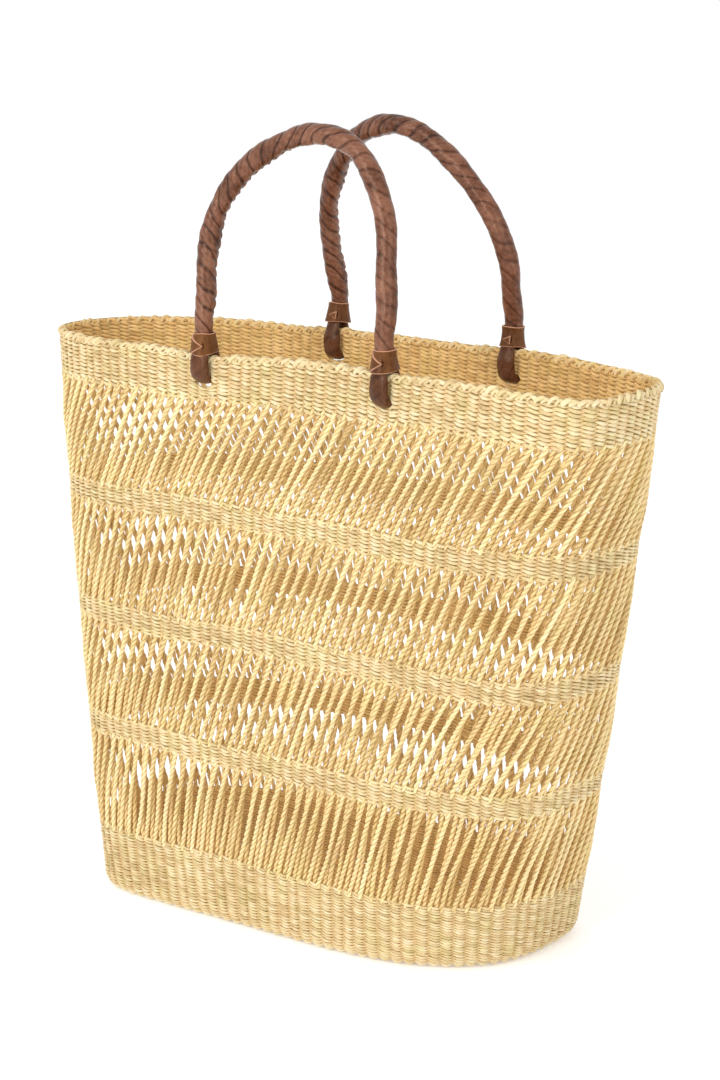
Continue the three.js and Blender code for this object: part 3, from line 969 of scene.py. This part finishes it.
def leather_loop(name, end, seed):
    """The leather that goes through the wall and holds one end of a handle."""
    rim = RIM_FRAMES[name, end]
    path = loop_line()
    flat = path[:, :2]
    tangent = unit(np.gradient(flat, axis=0))
    outer = np.column_stack([-tangent[:, 1], tangent[:, 0]])
    length = lengths(flat)
    angle = np.arange(LOOP_AROUND) / LOOP_AROUND * 2 * np.pi
    s, a = length[:, None], angle[None]
    rise, crease = wrinkles(s, a, seed)
    rise = 0.3 * rise * round_ends(length, 4 * MM)[:, None]
    ends = round_ends(length, 3 * MM)[:, None]
    thick = path[:, 2:3] * ends + rise
    wide = path[:, 3:4] * ends + rise
    fullness = np.abs(np.cos(a)) ** 0.8 * np.sign(np.cos(a))
    out = flat[:, :1] + outer[:, :1] * thick * fullness
    up = flat[:, 1:] + outer[:, 1:] * thick * fullness
    roll = Tubes()
    # painted shade in the creases, at half strength
    roll.add(rim.place(out, wide * np.sin(a), up), False, crease=0.5 * crease, cut=0.0)
    piece = roll.build(name + "_" + end + "_leather_loop", LOOP_LEATHER)
    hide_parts(name + "_" + end + "_loop")
    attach(piece, "basket")


# ---- Leather collars ----

COLLAR = {"skin": 1.2 * MM, "half_width": 6.4 * MM, "squareness": 2.3}
# The collar's faces outside the wall and inside it, where it sits higher to clear the rim: the heights
# of its edges above the rim, and how far out of the wall's middle its foot and its top are.
OUTSIDE = {"low": -2.2 * MM, "high": 10.2 * MM, "foot": 8.5 * MM, "top": 7.6 * MM}
INSIDE = {"low": 0.2 * MM, "high": 11.4 * MM, "foot": -7.3 * MM, "top": -4.0 * MM}
# The strap's pointed end, in millimetres along the collar's outline from the middle of its face: it
# widens from its tip to its root and is hidden past its end; level is its share of the height.
TABS = {
    "front": {"tip": 3.6, "root": -6.0, "end": -12, "half": 5.6, "level": 0.43, "slit": 3.9},
    "back": {"tip": -1.6, "root": 3.4, "end": 3.5, "half": 2.1, "level": 0.36, "slit": 4.0},
}
TAB_RISE = 0.75 * MM


def mix(first, second, share):
    return first + (second - first) * share


def collar_outline():
    """Angles that part the collar's outline evenly, from the middle of its face, with their arc lengths."""
    fine = np.linspace(-np.pi, np.pi, 4001)
    power = 2 / COLLAR["squareness"]
    depth = (OUTSIDE["foot"] + OUTSIDE["top"] - INSIDE["foot"] - INSIDE["top"]) / 4
    x = depth * np.sign(np.cos(fine)) * np.abs(np.cos(fine)) ** power
    y = COLLAR["half_width"] * np.sign(np.sin(fine)) * np.abs(np.sin(fine)) ** power
    along = lengths(np.column_stack([x, y]))
    even = np.linspace(0, along[-1], 240, endpoint=False)
    return np.interp(even, along, fine), even - along[-1] / 2


def collar_section():
    """The strap's own section as [way in from the face in skins, share of the height]."""
    face = [(0.0, share) for share in np.linspace(0.03, 0.97, 44)]
    top = [(0.2, 0.99), (0.5, 1.0), (0.8, 0.99)]
    inside = [(1.0, share) for share in np.linspace(0.96, 0.04, 12)]
    bottom = [(0.8, 0.01), (0.5, 0.0), (0.2, 0.01)]
    return np.array(face + top + inside + bottom)


def collar_tab(tab, beside, level):
    """The strap's pointed end: how far a place is inside the outline of the tab, in metres."""
    tip, root, end, half = (tab[key] * MM for key in ("tip", "root", "end", "half"))
    reach = np.clip((tip - beside) / (tip - root), -1, 1)
    return np.minimum(half * reach - np.abs(level), (beside - end) * np.sign(tip - root))


def leather_collar(name, end, seed):
    """The strap that is wrapped round a loop's legs and the end of its handle."""
    rim = RIM_FRAMES[name, end]
    facing = -rim.side
    angle, beside = (values[:, None] for values in collar_outline())
    skin_share, share = (values[None] for values in collar_section().T)
    power = 2 / COLLAR["squareness"]
    across = facing * np.sign(np.cos(angle)) * np.abs(np.cos(angle)) ** power
    outward = (1 + across) / 2
    lift = COLLAR_RISE[name, end] * MM
    low = mix(INSIDE["low"], OUTSIDE["low"], outward) + lift
    high = mix(INSIDE["high"], OUTSIDE["high"], outward) + lift
    ripple = 0.25 * MM * np.sin(2 * angle + seed) + 0.2 * MM * np.sin(3 * angle + 2 * seed)
    up = mix(low, high, share) + ripple * (2 * share - 1)
    level = up - mix(low, high, TABS[name]["level"])
    tab = collar_tab(TABS[name], beside, level)
    on_face = skin_share < 0.1
    rise = np.where(on_face, TAB_RISE * np.clip(tab / (0.25 * MM), 0, 1), 0)
    past_slit = (beside - TABS[name]["slit"] * MM) / (0.45 * MM)
    slit = np.exp(-(past_slit**2 + (level / (1.7 * MM)) ** 2))
    rise = rise - np.where(on_face, 1.0 * MM * slit, 0)
    dents = 0.15 * MM * np.sin(5 * angle + 3 * seed + 2 * share) + 0.3 * MM * np.sin(np.pi * share + seed)
    flare = 0.45 * MM * (2 * share - 1) ** 4
    way_in = COLLAR["skin"] * skin_share - rise - dents - flare
    inner = mix(INSIDE["foot"], INSIDE["top"], share)
    outer = mix(OUTSIDE["foot"], OUTSIDE["top"], share)
    out = mix(inner, outer, outward) - way_in * across
    width = COLLAR["half_width"] * mix(1.03, 0.95, share) - way_in
    along = facing * width * np.sign(np.sin(angle)) * np.abs(np.sin(angle)) ** power
    rims = np.clip(1.3 - np.minimum(share, 1 - share) * (high - low) / (0.45 * MM), 0, 1)
    tab_edge = np.where(on_face, np.clip(1.2 - np.abs(tab - 0.1 * MM) / (0.3 * MM), 0, 1), 0)
    strap = Tubes()
    points = rim.place(out, along, up)
    # painted shade in the slit
    strap.add(points[:, ::-1], True, crease=slit[:, ::-1], cut=np.maximum(rims, tab_edge)[:, ::-1])
    piece = strap.build(name + "_" + end + "_strap", COLLAR_LEATHER)
    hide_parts(name + "_" + end + "_collar")
    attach(piece, "basket")


def handles():
    """Both handles, each with its two loops and collars."""
    for number, name in enumerate(HANDLES):
        handle_roll(name, seed=1.7 + 2.1 * number)
        for end in ("left", "right"):
            seed = number + (0.4 if end == "left" else 2.3)
            leather_loop(name, end, seed)
            leather_collar(name, end, seed)


handles()


# ---- Camera, floor and light ----

CAMERA_AZIMUTH = math.radians(41.9)    # from straight in front of the basket
CAMERA_ELEVATION = math.radians(13.7)
CAMERA_DISTANCE = 1.1788


def camera():
    data = bpy.data.cameras.new("camera")
    data.lens = 67.2
    data.sensor_width = 36
    azimuth, elevation = CAMERA_AZIMUTH, CAMERA_ELEVATION
    back = Vector((
        math.sin(azimuth) * math.cos(elevation),
        -math.cos(azimuth) * math.cos(elevation),
        math.sin(elevation),
    ))
    across = Vector((math.cos(azimuth), math.sin(azimuth), 0))
    target = Vector((0.0157, -0.0047, 0.2363)) + across * 0.0081
    item = bpy.data.objects.new("camera", data)
    item.location = target + back * CAMERA_DISTANCE
    item.rotation_euler = (-back).to_track_quat("-Z", "Y").to_euler()
    bpy.context.scene.collection.objects.link(item)
    bpy.context.scene.camera = item


def plain_floor():
    mesh = bpy.data.meshes.new("floor")
    size = 6.0
    corners = [(-size, -size, 0), (size, -size, 0), (size, size, 0), (-size, size, 0)]
    mesh.from_pydata(corners, [], [(0, 1, 2, 3)])
    item = bpy.data.objects.new("floor", mesh)
    bpy.context.scene.collection.objects.link(item)
    nodes = Nodes("pale_floor")
    nodes.shader.inputs["Base Color"].default_value = (0.93, 0.93, 0.93, 1)
    nodes.shader.inputs["Roughness"].default_value = 0.9
    nodes.shader.inputs["Emission Color"].default_value = (1, 1, 1, 1)
    nodes.shader.inputs["Emission Strength"].default_value = 0.22
    mesh.materials.append(nodes.material)


def area_light(name, place, aim, size, power):
    data = bpy.data.lights.new(name, "AREA")
    data.shape = "RECTANGLE"
    data.size, data.size_y = size
    data.energy = power
    item = bpy.data.objects.new(name, data)
    item.location = place
    item.rotation_euler = (Vector(aim) - Vector(place)).to_track_quat("-Z", "Y").to_euler()
    bpy.context.scene.collection.objects.link(item)


def white_world(seen, shining):
    """A white surround: one strength where the camera sees it, another for the light it gives."""
    world = bpy.data.worlds.new("studio")
    world.use_nodes = True
    tree = world.node_tree
    background = tree.nodes["Background"]
    background.inputs["Color"].default_value = (1, 1, 1, 1)
    path = tree.nodes.new("ShaderNodeLightPath")
    strength = tree.nodes.new("ShaderNodeMapRange")
    strength.inputs["To Min"].default_value = shining
    strength.inputs["To Max"].default_value = seen
    tree.links.new(path.outputs["Is Camera Ray"], strength.inputs["Value"])
    tree.links.new(strength.outputs["Result"], background.inputs["Strength"])
    bpy.context.scene.world = world


def studio():
    white_world(seen=1.0, shining=0.9)
    middle = (0.02, 0, 0.2)
    area_light("key", (-0.2, -1.9, 1.3), middle, (1.3, 1.3), 16)
    area_light("fill", (1.9, -0.5, 0.9), middle, (1.2, 1.2), 8)
    area_light("strip", (0.35, -1.8, 0.7), middle, (0.12, 1.2), 6)
    bpy.context.scene.view_settings.view_transform = "Standard"


camera()
plain_floor()
studio()
